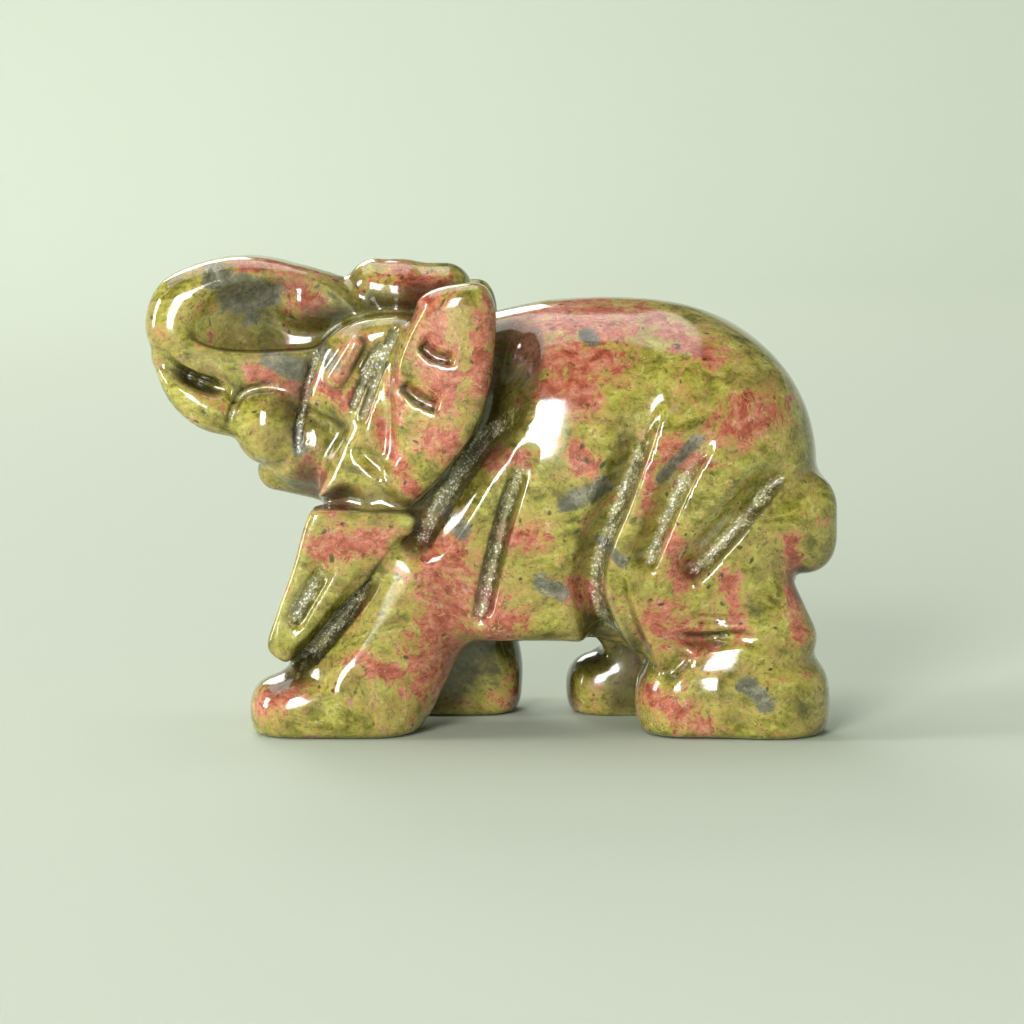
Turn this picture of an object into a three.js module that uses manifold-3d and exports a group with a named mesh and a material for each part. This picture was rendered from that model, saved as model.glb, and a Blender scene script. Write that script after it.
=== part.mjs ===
// A small elephant carved and polished from one pebble of green and salmon unakite.
// It walks with its left foreleg forward, and its trunk curls back to rest on the forehead.
// Millimetres, +Z up, the elephant faces -X, and its left side faces -Y.
// The origin is on the ground under the middle of the figure.

import * as THREE from "three";
import Module from "manifold-3d";
import { mergeVertices } from "three/addons/utils/BufferGeometryUtils.js";

// Driving dimensions.
const LENGTH = 50; // from the trunk's curl to the tail
const WIDTH = 21; // across the ears
const LEG_GAP = 2.6; // saw cut between the left and the right legs
const HEAD_FACET = 1.1; // size of the facets on the head
const BODY_FACET = 1.55; // and along the body

// The carving is drawn on a figure 50 units long and 21 wide, and every place below is in those units.
const UNIT = LENGTH / 50;
const ACROSS = WIDTH / 21;

const { abs, cos, max, min, sin, sqrt } = Math;
const length = (a, b, c = 0) => sqrt(a * a + b * b + c * c);
const clamp01 = (t) => min(max(t, 0), 1);

// 0 before a, 1 past b and an easy curve between them.
function ease(a, b, t) {
  const s = clamp01((t - a) / (b - a));
  return s * s * (3 - 2 * s);
}

// Two forms run into each other over a fillet k wide.
function blend(a, b, k) {
  const h = max(k - abs(a - b), 0) / k;
  return min(a, b) - (h * h * k) / 4;
}

// What both forms share, with the edge between them rounded over k.
const common = (a, b, k) => -blend(-a, -b, k);

// Takes form b out of form a, with the edge between them rounded over k.
const cutAway = (a, b, k) => common(a, -b, k);

// Every form is a function of a place that gives how far it lies outside the form, negative inside.

const joined = (k, first, ...rest) => (x, y, z) => {
  let d = first(x, y, z);
  for (const form of rest) d = blend(d, form(x, y, z), k);
  return d;
};

// Ellipsoid round a centre, turned by lean in the side view.
function egg([cx, cy, cz], [rx, ry, rz], lean = 0) {
  const c = cos(lean);
  const s = sin(lean);
  return (x, y, z) => {
    const u = ((x - cx) * c + (z - cz) * s) / rx;
    const v = (y - cy) / ry;
    const w = ((z - cz) * c - (x - cx) * s) / rz;
    const near = max(length(u, v, w), 1e-6);
    return (near * (near - 1)) / length(u / rx, v / ry, w / rz);
  };
}

// Block with its corners rounded by plan seen from above and its top and bottom edges by edge.
function block([cx, cy, cz], [hx, hy, hz], plan, edge, lean = 0) {
  const c = cos(lean);
  const s = sin(lean);
  return (x, y, z) => {
    const u = abs((x - cx) * c + (z - cz) * s) - hx + plan;
    const v = abs(y - cy) - hy + plan;
    const w = abs((z - cz) * c - (x - cx) * s) - hz;
    const wall = length(max(u, 0), max(v, 0)) + min(max(u, v), 0) - plan;
    return common(wall, w, edge);
  };
}

// Limb from one joint to the next, [x, y, z, radius] each, its section squeezed across by flat.
function limb([ax, ay, az, ar], [bx, by, bz, br], flat = 1) {
  const dx = bx - ax;
  const dy = by - ay;
  const dz = bz - az;
  const run = dx * dx + dy * dy + dz * dz;
  return (x, y, z) => {
    const t = clamp01(((x - ax) * dx + (y - ay) * dy + (z - az) * dz) / run);
    return length(x - ax - t * dx, (y - ay - t * dy) / flat, z - az - t * dz) - ar - t * (br - ar);
  };
}

// Tube that swells and thins along a smooth curve through stations [x, y, z, radius].
function tube(stations, flat = 1, steps = 12) {
  const line = new THREE.CatmullRomCurve3(stations.map(([x, y, z]) => new THREE.Vector3(x, y, z)));
  const girth = new THREE.SplineCurve(stations.map((s, i) => new THREE.Vector2(i, s[3])));
  const rings = Array.from({ length: steps + 1 }, (_, i) => {
    const p = line.getPoint(i / steps);
    return [p.x, p.y, p.z, girth.getPoint(i / steps).y];
  });
  const limbs = rings.slice(1).map((ring, i) => limb(rings[i], ring, flat));
  return (x, y, z) => {
    let d = Infinity;
    for (const part of limbs) d = min(d, part(x, y, z));
    return d;
  };
}

// Smooth side-view line through a few points, as [x, z, x, z, ...].
function smoothLine(points, closed, steps) {
  const places = points.map(([x, z]) => new THREE.Vector3(x, 0, z));
  const line = new THREE.CatmullRomCurve3(places, closed, "centripetal");
  return new Float64Array(line.getPoints(steps).flatMap((p) => [p.x, p.z]));
}

// How far (x, z) lies outside a closed outline in the side view; negative inside it.
function outline(points, steps) {
  const at = smoothLine(points, true, steps);
  return (x, z) => {
    let best = Infinity;
    let inside = false;
    for (let i = 2; i < at.length; i += 2) {
      const ax = at[i - 2];
      const az = at[i - 1];
      const dx = at[i] - ax;
      const dz = at[i + 1] - az;
      const t = clamp01(((x - ax) * dx + (z - az) * dz) / (dx * dx + dz * dz));
      const ex = x - ax - t * dx;
      const ez = z - az - t * dz;
      best = min(best, ex * ex + ez * ez);
      if (az > z !== at[i + 1] > z && x < (dx * (z - az)) / dz + ax) inside = !inside;
    }
    return inside ? -sqrt(best) : sqrt(best);
  };
}

// Stroke of the carver's wheel, drawn upwards or to the right in the side view. It is deepest on its
// line, runs out over left and right to either side, and thins over start and end, shares of its length.
// A crisp side ends in a sharp edge, and the other in a soft one.
function stroke(points, { left, right, depth, crisp = "right", start = 0.2, end = 0.2 }) {
  const at = smoothLine(points, false, 4 * points.length);
  const reach = max(left, right);
  const xs = at.filter((_, i) => i % 2 === 0);
  const zs = at.filter((_, i) => i % 2 === 1);
  const lowX = min(...xs) - reach;
  const highX = max(...xs) + reach;
  const lowZ = min(...zs) - reach;
  const highZ = max(...zs) + reach;
  return (x, z) => {
    if (x < lowX || x > highX || z < lowZ || z > highZ) return 0;
    let best = Infinity;
    let onRight = false;
    let along = 0;
    for (let i = 2; i < at.length; i += 2) {
      const dx = at[i] - at[i - 2];
      const dz = at[i + 1] - at[i - 1];
      const px = x - at[i - 2];
      const pz = z - at[i - 1];
      const t = clamp01((px * dx + pz * dz) / (dx * dx + dz * dz));
      const ex = px - t * dx;
      const ez = pz - t * dz;
      const d = ex * ex + ez * ez;
      if (d >= best) continue;
      best = d;
      onRight = dx * ez < dz * ex;
      along = (i / 2 - 1 + t) / (at.length / 2 - 1);
    }
    const share = sqrt(best) / (onRight ? right : left);
    if (share >= 1) return 0;
    const sharp = crisp === "both" || crisp === (onRight ? "right" : "left");
    const profile = sharp ? 1 - share ** 1.5 : (1 - share * share) ** 2;
    return depth * profile * ease(0, start, along) * ease(0, end, 1 - along);
  };
}

// Barrel of the body with the neck, chest and belly.
const barrel = joined(
  2.5,
  egg([8.4, 0, 19.3], [14.8, 8.9, 11.8]),
  egg([13.2, 0, 19], [9.2, 8.8, 10.6]),
  limb([-7.5, 0, 23.2, 6.2], [2.5, 0, 21.6, 8.3], 0.95),
  egg([-2.6, 0, 17.6], [8.4, 7.4, 9.4]),
);
const belly = block([4.6, 0, 14], [7.6, 8.5, 7.2], 3, 2.6);
const throat = block([-7.2, 0, 18], [4.8, 6.2, 3.2], 2, 2);

// Legs in their order from the front: shoulder or thigh, shank and foot.
const leftForeleg = joined(
  1.2,
  egg([-2.4, -4.4, 17.2], [5.4, 4.7, 7.8], 0.3),
  limb([-4.6, -4.2, 15, 5], [-9.4, -4.4, 3.9, 4.6]),
  limb([-2.8, -4, 15, 4.5], [-7.6, -4.3, 3.6, 4]),
  block([-8.8, -4.8, 10], [4.2, 3.3, 6.4], 2.4, 1.6, -0.467),
  limb([-14.8, -4.9, 1.8, 2.2], [-11, -4.8, 3.2, 3.4], 1.25),
  block([-11.2, -4.9, 1.6], [5.8, 3.9, 2.2], 3, 2),
);
const rightForeleg = joined(
  1.6,
  egg([-3, 4.4, 17.2], [5.6, 4.7, 7.8]),
  limb([-4, 4.8, 15, 4.7], [-2.4, 4.9, 5, 4.4], 0.92),
  block([-3.6, 4.9, 2], [5.9, 3.9, 2.5], 3.2, 2.4),
);
const leftThigh = joined(
  2,
  egg([14.9, -3.9, 17.6], [7.7, 5.9, 10.4], -0.2),
  block([15.6, -4.7, 9.6], [6.2, 3.8, 6.6], 2.6, 2, 0.44),
);
const leftHindFoot = joined(
  1.2,
  block([17.4, -4.9, 2.4], [6.7, 4.2, 2.6], 3.2, 1.8),
  limb([13, -4.9, 2.4, 2.3], [16.4, -4.9, 3, 3.6], 1.15),
  limb([17.8, -4.8, 9, 3.9], [19.8, -4.9, 1.6, 4.2]),
);
const rightThigh = joined(
  2,
  egg([14.6, 3.9, 18], [7.7, 5.7, 10.4], -0.1),
  block([13.4, 4.9, 9], [5.6, 3.9, 7.4], 2.6, 2.4, 0.12),
);
const rightHindFoot = joined(
  1.4,
  block([12.4, 4.9, 1.6], [6.3, 4, 2.3], 3.2, 1.9),
  limb([8.2, 4.8, 1.9, 2.4], [12, 4.8, 3.4, 3.4], 1.12),
);

// Flap in front of the left foreleg, with a ledge for its top.
const flapOutline = outline(
  [
    [-12.7, 15.9],
    [-9, 15.8],
    [-5.2, 15.5],
    [-6.7, 13],
    [-9.8, 8.8],
    [-12.8, 5.5],
    [-14.6, 5.6],
    [-15.8, 6.6],
    [-15.2, 9],
    [-14, 12.4],
  ],
  60,
);
const flap = (x, y, z) => common(flapOutline(x, z), abs(y + 7.3) - 1.8, 0.8);

// Head without its trunk.
const faceOutline = outline(
  [
    [-13.2, 24],
    [-10.4, 22.2],
    [-6.5, 20.4],
    [-3.4, 24],
    [-3.6, 29],
    [-6, 30],
    [-8.6, 29.9],
    [-10.6, 29.2],
    [-12, 27.9],
    [-12.8, 25.8],
  ],
  60,
);
const face = (x, y, z) => common(faceOutline(x, z), abs(y) - 7 - 0.13 * (x + 12), 1.8);
const skull = egg([-7.6, 0, 24.2], [5.8, 6.6, 5.4], -0.3);
const jaw = limb([-9.6, 1.6, 20.2, 3.4], [-13.4, 1.6, 20.6, 3.2]);
const cheek = egg([-15.9, 2.7, 22], [2.6, 2.4, 3], 0.2);
const lip = limb([-15.4, 0.9, 18.6, 1.5], [-12.6, 1, 18.4, 1.9]);
const eye = limb([-10.8, 6.7, 25.7, 0.8], [-9, 7, 28.4, 0.7]);

// Trunk: a flat curl scooped out on both sides, its end laid over the forehead.
const curlOutline = outline(
  [
    [-24.9, 28.9],
    [-24, 32],
    [-21, 33.6],
    [-17.4, 34.1],
    [-13.8, 33.4],
    [-10.6, 31.9],
    [-9, 28.6],
    [-12.5, 23],
    [-17.8, 22.4],
    [-20.6, 23.2],
    [-23.4, 25.8],
  ],
  60,
);
const curl = (x, y, z) => common(curlOutline(x, z), abs(y) - 4 + 0.1 * max(z - 29, 0), 2.4);
const scoopFloor = outline(
  [
    [-23.5, 29.6],
    [-22, 28.7],
    [-20.4, 27.8],
    [-18.4, 27.4],
    [-15, 27.4],
    [-12.4, 27.7],
    [-10.6, 29],
    [-9, 30.2],
    [-8, 38],
    [-26, 38],
  ],
  50,
);
const hollow = egg([-15, 7.5, 29.1], [8.6, 6.1, 5.4], 0.06);
const scoop = (x, y, z) => common(hollow(x, y, z), scoopFloor(x, z), 0.3);
const tusk = tube([
  [-18.6, 2.8, 22.9, 1.7],
  [-20.2, 2.9, 23.3, 1.65],
  [-22, 2.8, 24.6, 1.4],
  [-23.4, 2.1, 26.8, 1],
]);
const trunkEnd = joined(
  0.7,
  limb([-13.5, 0, 30.9, 2.2], [-9.4, 0, 30.2, 2], 1.3),
  limb([-8.3, 0, 31.8, 2.1], [-6.6, 0, 31.5, 2.3], 1.3),
  limb([-6.4, 0, 31.5, 2.1], [-3.3, 0, 31.6, 2], 1.3),
);

const earOutline = outline(
  [
    [-2.4, 32.5],
    [-0.5, 32.5],
    [0.3, 31.3],
    [0.4, 28.3],
    [0, 25],
    [-0.9, 22.4],
    [-2.5, 20],
    [-4.2, 18],
    [-5.8, 16.7],
    [-7.4, 17.6],
    [-8.7, 17],
    [-10.2, 17.7],
    [-12.2, 17.2],
    [-11.9, 18.2],
    [-10.9, 20.5],
    [-8.8, 25.1],
    [-6.8, 29.2],
    [-4.6, 31.8],
  ],
  80,
);

// Ear: a slab that stands off the neck, further at its rear edge, with a raised lobe.
function ear(x, y, z) {
  const side = abs(y);
  const lobe = ease(-7.2, -5.9, x + 0.1 * abs(z - 24)) * ease(15.5, 21, z);
  const outside = 7.3 + 0.22 * (x + 12) + 0.9 * lobe - 0.6 * ease(-3, 1, x);
  const slab = common(earOutline(x, z), side - outside, 1.5);
  return common(slab, outside - 3 - side, 1);
}

// Tail: from the rump it bulges out behind and lies across the left thigh.
const tail = joined(
  1.2,
  block([22, -3.8, 15.2], [2.9, 3.6, 3.7], 2.4, 2.9),
  limb([20.6, -6, 15.2, 2.8], [15.2, -8.6, 11.4, 0.6]),
);

// Carving of the body, drawn in the side view.
const neckValley = stroke(
  [
    [-6.6, 12.8],
    [-4.6, 15.4],
    [-1.8, 20],
    [0.6, 24.4],
    [1.4, 27.6],
    [1, 30],
  ],
  { left: 3.4, right: 2.4, depth: 1.6, crisp: "none", start: 0.2, end: 0.35 },
);
const shoulderValley = stroke(
  [
    [-7, 12.2],
    [-4.4, 15],
    [-1.4, 20.2],
    [1, 24],
    [2.4, 26],
  ],
  { left: 1.6, right: 1.9, depth: 1.1, start: 0.2, end: 0.3 },
);
const shoulderGroove = stroke(
  [
    [-0.6, 8],
    [0.5, 12.9],
    [1.4, 16.7],
    [2.5, 19.6],
    [4, 23],
  ],
  { left: 0.9, right: 1.1, depth: 0.9, crisp: "left", start: 0.1, end: 0.5 },
);
const thighFront = stroke(
  [
    [11, 4],
    [8.6, 7.8],
    [7.4, 10.8],
    [7.6, 13.8],
    [8.6, 16.9],
    [9.8, 20.2],
    [10.8, 23],
    [12, 25.6],
  ],
  { left: 2, right: 1.5, depth: 1.5, start: 0.01, end: 0.4 },
);
const thighMiddle = stroke(
  [
    [11.1, 12.4],
    [12.2, 16.1],
    [13.3, 18.6],
    [16.2, 22.4],
  ],
  { left: 1.4, right: 1.1, depth: 1.1, start: 0.15, end: 0.4 },
);
const thighBack = stroke(
  [
    [13.9, 10.6],
    [16, 14.4],
    [17.7, 16.9],
    [20.2, 20.2],
    [21.8, 21.4],
  ],
  { left: 1.8, right: 1.6, depth: 1.2, start: 0.15, end: 0.3 },
);
const ankle = stroke(
  [
    [12.6, 7.5],
    [16.3, 7.6],
    [20.6, 8],
  ],
  { left: 0.9, right: 1, depth: 0.8, start: 0.1, end: 0.2 },
);
const flapFront = stroke(
  [
    [-14.6, 7.4],
    [-13.6, 9.4],
    [-12.4, 11.4],
    [-11, 13.3],
  ],
  { left: 0.9, right: 1, depth: 0.9, crisp: "both", start: 0.25, end: 0.2 },
);
const flapBack = stroke(
  [
    [-14.2, 4.9],
    [-12.6, 6.4],
    [-9.9, 9.6],
    [-7.5, 12.9],
  ],
  { left: 1.1, right: 1.2, depth: 1.4, crisp: "both", start: 0.2, end: 0.2 },
);

// Carving of the head.
const tuskGroove = stroke(
  [
    [-24, 27.6],
    [-22.6, 26.1],
    [-20.5, 25.1],
    [-18, 24.4],
  ],
  { left: 0.7, right: 0.8, depth: 0.7, crisp: "left", start: 0.5, end: 0.2 },
);
const faceGroove = stroke(
  [
    [-9.7, 22.6],
    [-8.6, 25.6],
    [-6.8, 29.4],
  ],
  { left: 0.8, right: 0.8, depth: 0.6, crisp: "both" },
);
const upperNotch = stroke(
  [
    [-4.9, 28.2],
    [-4, 27.5],
    [-2.5, 27.2],
  ],
  { left: 0.6, right: 0.4, depth: 0.55, start: 0.15, end: 0.15 },
);
const lowerNotch = stroke(
  [
    [-6.3, 25.3],
    [-5, 24.3],
    [-3.7, 23.8],
  ],
  { left: 0.7, right: 0.4, depth: 0.65, start: 0.15, end: 0.15 },
);

// Body and legs.
function body(x, y, z) {
  let d = blend(barrel(x, y, z), belly(x, y, z), 2.2);
  d = blend(d, throat(x, y, z), 1.5);
  d = blend(d, leftForeleg(x, y, z), 1.6);
  d = blend(d, rightForeleg(x, y, z), 1.6);
  d = blend(d, leftThigh(x, y, z), 3);
  d = blend(d, rightThigh(x, y, z), 3);
  const outer = ease(2, 5, abs(y));
  const left = ease(2, 5, -y);
  d += outer * (neckValley(x, z) + shoulderValley(x, z) + shoulderGroove(x, z));
  d += outer * (thighFront(x, z) + thighMiddle(x, z));
  d += left * thighBack(x, z);
  d = blend(d, leftHindFoot(x, y, z), 0.8);
  d = blend(d, rightHindFoot(x, y, z), 0.8);
  d = blend(d, flap(x, y, z), 0.5);
  const flapFace = ease(4.5, 7, -y);
  return d + left * ankle(x, z) + flapFace * (flapFront(x, z) + flapBack(x, z));
}

// Head, trunk and ears, the same on both sides.
function head(x, y, z) {
  const side = abs(y);
  let d = blend(skull(x, side, z), jaw(x, side, z), 1.6);
  d = blend(d, face(x, side, z), 0.8);
  d = blend(d, eye(x, side, z), 0.3);
  let t = cutAway(curl(x, side, z), scoop(x, side, z), 0.4);
  t = blend(t, tusk(x, side, z), 0.6) + tuskGroove(x, z);
  d = blend(d, t, 0.5);
  d = blend(d, cheek(x, side, z), 0.5);
  d = blend(d, lip(x, side, z), 0.5);
  d = blend(d, trunkEnd(x, side, z), 0.8) + ease(2, 5, side) * faceGroove(x, z);
  return blend(d, ear(x, side, z) + upperNotch(x, z) + lowerNotch(x, z), 0.4);
}

// The whole figure before its soles are cut flat.
function figure(x, y, z) {
  const legGap = LEG_GAP / ACROSS;
  const saw = max(abs(y) - legGap / 2, z - 7.4);
  const d = cutAway(body(x, y, z), saw, 0.8);
  return blend(blend(d, head(x, y, z), 0.9), tail(x, y, z), 0.7);
}

// Grid lines from each place to the next, no more than that stretch's step apart.
function ticks(stretches, end) {
  const lines = stretches.flatMap(([from, step], i) => {
    const to = i + 1 < stretches.length ? stretches[i + 1][0] : end;
    const n = Math.ceil((to - from) / step);
    return Array.from({ length: n }, (_, k) => from + ((to - from) * k) / n);
  });
  return [...lines, end];
}

// Corner offsets of a grid cell, and the pairs of corners that its edges join.
const CORNERS = Array.from({ length: 8 }, (_, i) => [i & 1, (i >> 1) & 1, (i >> 2) & 1]);
const EDGES = CORNERS.flatMap((_, a) => [1, 2, 4].filter((bit) => !(a & bit)).map((bit) => [a, a | bit]));

// Whether a cell's solid corners, or its empty ones, fall apart into several groups.
const FORKED = Array.from({ length: 256 }, (_, mask) => {
  const group = CORNERS.map((_, i) => i);
  for (let round = 0; round < 8; round += 1)
    for (const [a, b] of EDGES)
      if (((mask >> a) & 1) === ((mask >> b) & 1)) group[a] = group[b] = min(group[a], group[b]);
  return new Set(group).size > 2;
});

// Closed skin of a solid given by its distance: one point in each grid cell that the surface crosses.
function skin(distance, xs, ys, zs) {
  const strides = [1, xs.length, xs.length * ys.length];
  const value = new Float64Array(strides[2] * zs.length);
  const corners = CORNERS.map(([a, b, c]) => a + b * strides[1] + c * strides[2]);
  const cells = [];
  for (let k = 0, n = 0; k < zs.length; k += 1)
    for (let j = 0; j < ys.length; j += 1)
      for (let i = 0; i < xs.length; i += 1, n += 1) {
        value[n] = distance(xs[i], ys[j], zs[k]);
        if (i + 1 < xs.length && j + 1 < ys.length && k + 1 < zs.length) cells.push(n);
      }
  const maskOf = (cell) => corners.reduce((mask, step, i) => mask | (value[cell + step] < 0 ? 1 << i : 0), 0);

  // Gaps narrower than a cell would pinch the skin, so they are filled.
  const pinched = cells.filter((cell) => FORKED[maskOf(cell)]);
  while (pinched.length) {
    const cell = pinched.pop();
    if (!FORKED[maskOf(cell)]) continue;
    const open = corners.map((step) => cell + step).filter((n) => value[n] >= 0);
    const filled = open.reduce((a, b) => (value[a] < value[b] ? a : b));
    value[filled] = -1e-3;
    pinched.push(...corners.map((step) => filled - step));
  }

  const placeOf = (n) =>
    new THREE.Vector3(
      xs[n % strides[1]],
      ys[Math.floor(n / strides[1]) % ys.length],
      zs[Math.floor(n / strides[2])],
    );
  const points = [];
  const numbers = new Map();
  for (const cell of cells) {
    const mask = maskOf(cell);
    if (mask === 0 || mask === 255) continue;
    const sum = new THREE.Vector3();
    let crossings = 0;
    for (const [a, b] of EDGES) {
      if (((mask >> a) & 1) === ((mask >> b) & 1)) continue;
      const p = cell + corners[a];
      const q = cell + corners[b];
      sum.add(placeOf(p).lerp(placeOf(q), value[p] / (value[p] - value[q])));
      crossings += 1;
    }
    numbers.set(cell, points.length);
    points.push(sum.divideScalar(crossings));
  }

  const quads = [];
  for (const cell of cells)
    strides.forEach((step, axis) => {
      const solid = value[cell] < 0;
      if (solid === value[cell + step] < 0) return;
      const u = strides[(axis + 1) % 3];
      const v = strides[(axis + 2) % 3];
      const ring = [cell, cell - u, cell - u - v, cell - v].map((n) => numbers.get(n));
      quads.push(solid ? ring : ring.reverse());
    });
  return { points, quads };
}

// Moves each point of a skin onto the surface, along the steepest way.
function settle(points, distance, rounds, reach) {
  const e = 0.05;
  for (let round = 0; round < rounds; round += 1)
    for (const p of points) {
      const d = distance(p.x, p.y, p.z);
      const slope = new THREE.Vector3(
        distance(p.x + e, p.y, p.z) - distance(p.x - e, p.y, p.z),
        distance(p.x, p.y + e, p.z) - distance(p.x, p.y - e, p.z),
        distance(p.x, p.y, p.z + e) - distance(p.x, p.y, p.z - e),
      ).divideScalar(2 * e);
      const size = max(slope.length(), 0.5);
      p.addScaledVector(slope, -min(max(d / size, -reach), reach) / size);
    }
}

// Evens out the facets: each point moves towards the middle of its neighbours.
function relax({ points, quads }, share) {
  const sums = points.map(() => new THREE.Vector3());
  const counts = new Uint16Array(points.length);
  for (const q of quads)
    q.forEach((a, n) => {
      for (const b of [q[(n + 1) % 4], q[(n + 3) % 4]]) {
        sums[a].add(points[b]);
        counts[a] += 1;
      }
    });
  points.forEach((p, i) => p.lerp(sums[i].divideScalar(counts[i]), share));
}

// The skin as triangles, each quad split along its shorter diagonal.
function trianglesOf({ points, quads }) {
  const index = quads.flatMap(([a, b, c, d]) =>
    points[a].distanceTo(points[c]) < points[b].distanceTo(points[d]) ? [a, b, c, a, c, d] : [a, b, d, b, c, d],
  );
  const geometry = new THREE.BufferGeometry().setFromPoints(points);
  return geometry.setIndex(index);
}

const wasm = await Module();
wasm.setup();

const solidOf = (geometry) => {
  const bare = geometry.clone();
  bare.deleteAttribute("normal");
  bare.deleteAttribute("uv");
  const merged = mergeVertices(bare, 1e-4);
  return new wasm.Manifold(
    new wasm.Mesh({
      numProp: 3,
      vertProperties: merged.attributes.position.array,
      triVerts: new Uint32Array(merged.index.array),
    }),
  );
};

const geometryOf = (solid) => {
  const mesh = solid.getMesh();
  return new THREE.BufferGeometry()
    .setAttribute("position", new THREE.BufferAttribute(mesh.vertProperties, 3))
    .setIndex(new THREE.BufferAttribute(mesh.triVerts, 1));
};

// The stone: the figure's skin, sawn off level under the feet.
function stone() {
  const distance = (x, y, z) => min(UNIT, ACROSS) * figure(x / UNIT, y / ACROSS, z / UNIT);
  const xs = ticks([[-26.5 * UNIT, HEAD_FACET], [2 * UNIT, BODY_FACET]], 26.5 * UNIT);
  const ys = ticks([[-12 * ACROSS, HEAD_FACET]], 12 * ACROSS);
  const zs = ticks([[-4 * UNIT, BODY_FACET], [15 * UNIT, HEAD_FACET]], 36 * UNIT);
  const surface = skin(distance, xs, ys, zs);
  settle(surface.points, distance, 2, HEAD_FACET / 2);
  relax(surface, 0.5);
  settle(surface.points, distance, 2, HEAD_FACET / 2);
  const ground = new THREE.BoxGeometry(2 * LENGTH, LENGTH, LENGTH).translate(0, 0, -LENGTH / 2);
  return geometryOf(solidOf(trianglesOf(surface)).subtract(solidOf(ground)));
}

const unakite = new THREE.MeshStandardMaterial({ color: 0x9a9a5c, roughness: 0.25, metalness: 0 });

const elephant = new THREE.Mesh(stone(), unakite);
elephant.name = "elephant";

const figurine = new THREE.Group();
figurine.add(elephant);

export default figurine;
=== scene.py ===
"""A small elephant carved and polished from one pebble of green and salmon unakite.

The carving is drawn in units of a millimetre on a figure 50 long: x runs from the trunk at -25 to the
tail at 25, the left side faces -y, and z is the height over the ground. A place in the side view is (x, z).
"""

from __future__ import annotations

import logging
import math
from dataclasses import dataclass, field, replace
from enum import Enum
from functools import cached_property

import bpy
import numpy as np
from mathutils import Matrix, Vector

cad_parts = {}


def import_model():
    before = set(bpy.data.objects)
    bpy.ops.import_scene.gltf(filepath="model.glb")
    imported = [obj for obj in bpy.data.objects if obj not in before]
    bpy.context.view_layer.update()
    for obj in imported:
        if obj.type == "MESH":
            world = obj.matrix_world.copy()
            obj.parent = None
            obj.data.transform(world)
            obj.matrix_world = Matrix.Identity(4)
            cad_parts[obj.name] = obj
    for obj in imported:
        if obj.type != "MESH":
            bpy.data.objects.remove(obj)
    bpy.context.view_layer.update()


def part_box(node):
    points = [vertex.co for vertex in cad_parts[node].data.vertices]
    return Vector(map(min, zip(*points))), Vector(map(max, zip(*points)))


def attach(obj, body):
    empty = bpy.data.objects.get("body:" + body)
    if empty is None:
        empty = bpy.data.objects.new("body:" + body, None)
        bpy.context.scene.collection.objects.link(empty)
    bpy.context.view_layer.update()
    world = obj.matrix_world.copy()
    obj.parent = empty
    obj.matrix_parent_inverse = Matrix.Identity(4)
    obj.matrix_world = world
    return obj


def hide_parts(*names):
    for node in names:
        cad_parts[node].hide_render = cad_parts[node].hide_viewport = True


Array = np.ndarray
Spot = tuple[float, float]
Place = tuple[float, float, float]
Joint = tuple[float, float, float, float]
Colour = tuple[float, float, float, float]

MM = 0.001
FAINT = 1e-6
JUST_SOLID = -1e-3
log = logging.getLogger("elephant")


def ease(a: float, b: float, t: Array) -> Array:
    """Rises from 0 before a to 1 past b, along an easy curve."""
    s = np.clip((t - a) / (b - a), 0, 1)
    return s * s * (3 - 2 * s)


def blend(a: Array, b: Array, fillet: float) -> Array:
    """Distance outside two forms that run into each other over a fillet."""
    h = np.maximum(fillet - np.abs(a - b), 0) / fillet
    return np.minimum(a, b) - h * h * fillet / 4


def common(a: Array, b: Array, rounding: float) -> Array:
    """Distance outside what two forms share, with the edge between them rounded."""
    return -blend(-a, -b, rounding)


def cut_away(a: Array, b: Array, rounding: float) -> Array:
    """Distance outside form a once form b is taken out of it, with the edge rounded."""
    return common(a, -b, rounding)


def span(*parts: Array) -> Array:
    """Length of a vector given by its parts."""
    return np.sqrt(sum(part * part for part in parts))


def smooth_line(points: tuple[tuple[float, ...], ...], closed: bool, steps: int) -> Array:
    """Curve through every point, with no loops or overshoots at uneven spacing.

    Args:
        points: The places that the curve passes through.
        closed: Whether it returns to its first point.
        steps: Pieces between one point and the next.

    Returns:
        Rows of places along the curve.
    """
    p = np.array(points, float)
    ring = np.vstack([p[-1], p, p[:2]]) if closed else np.vstack([2 * p[0] - p[1], p, 2 * p[-1] - p[-2]])
    t = np.linspace(0, 1, steps, endpoint=False)[:, None]
    rows = []
    for a, b, c, d in zip(ring, ring[1:], ring[2:], ring[3:]):
        before, here, after = (math.sqrt(np.linalg.norm(v - u)) or 1 for u, v in ((a, b), (b, c), (c, d)))
        leave = ((b - a) / before - (c - a) / (before + here) + (c - b) / here) * here
        arrive = ((c - b) / here - (d - b) / (here + after) + (d - c) / after) * here
        square, cube = 3 * (c - b) - 2 * leave - arrive, 2 * (b - c) + leave + arrive
        rows.append(b + leave * t + square * t**2 + cube * t**3)
    return np.vstack([*rows, p[:1] if closed else p[-1:]])


class Form:
    """A shape, given by how far any place lies outside it; negative inside."""

    def distance(self, x: Array, y: Array, z: Array) -> Array:
        """How far each place lies outside the form."""
        raise NotImplementedError


@dataclass(frozen=True)
class Joined(Form):
    """Forms that run into each other over a fillet."""

    fillet: float
    forms: tuple[Form, ...]

    def distance(self, x: Array, y: Array, z: Array) -> Array:
        """How far each place lies outside the forms."""
        total = self.forms[0].distance(x, y, z)
        for form in self.forms[1:]:
            total = blend(total, form.distance(x, y, z), self.fillet)
        return total


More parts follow.
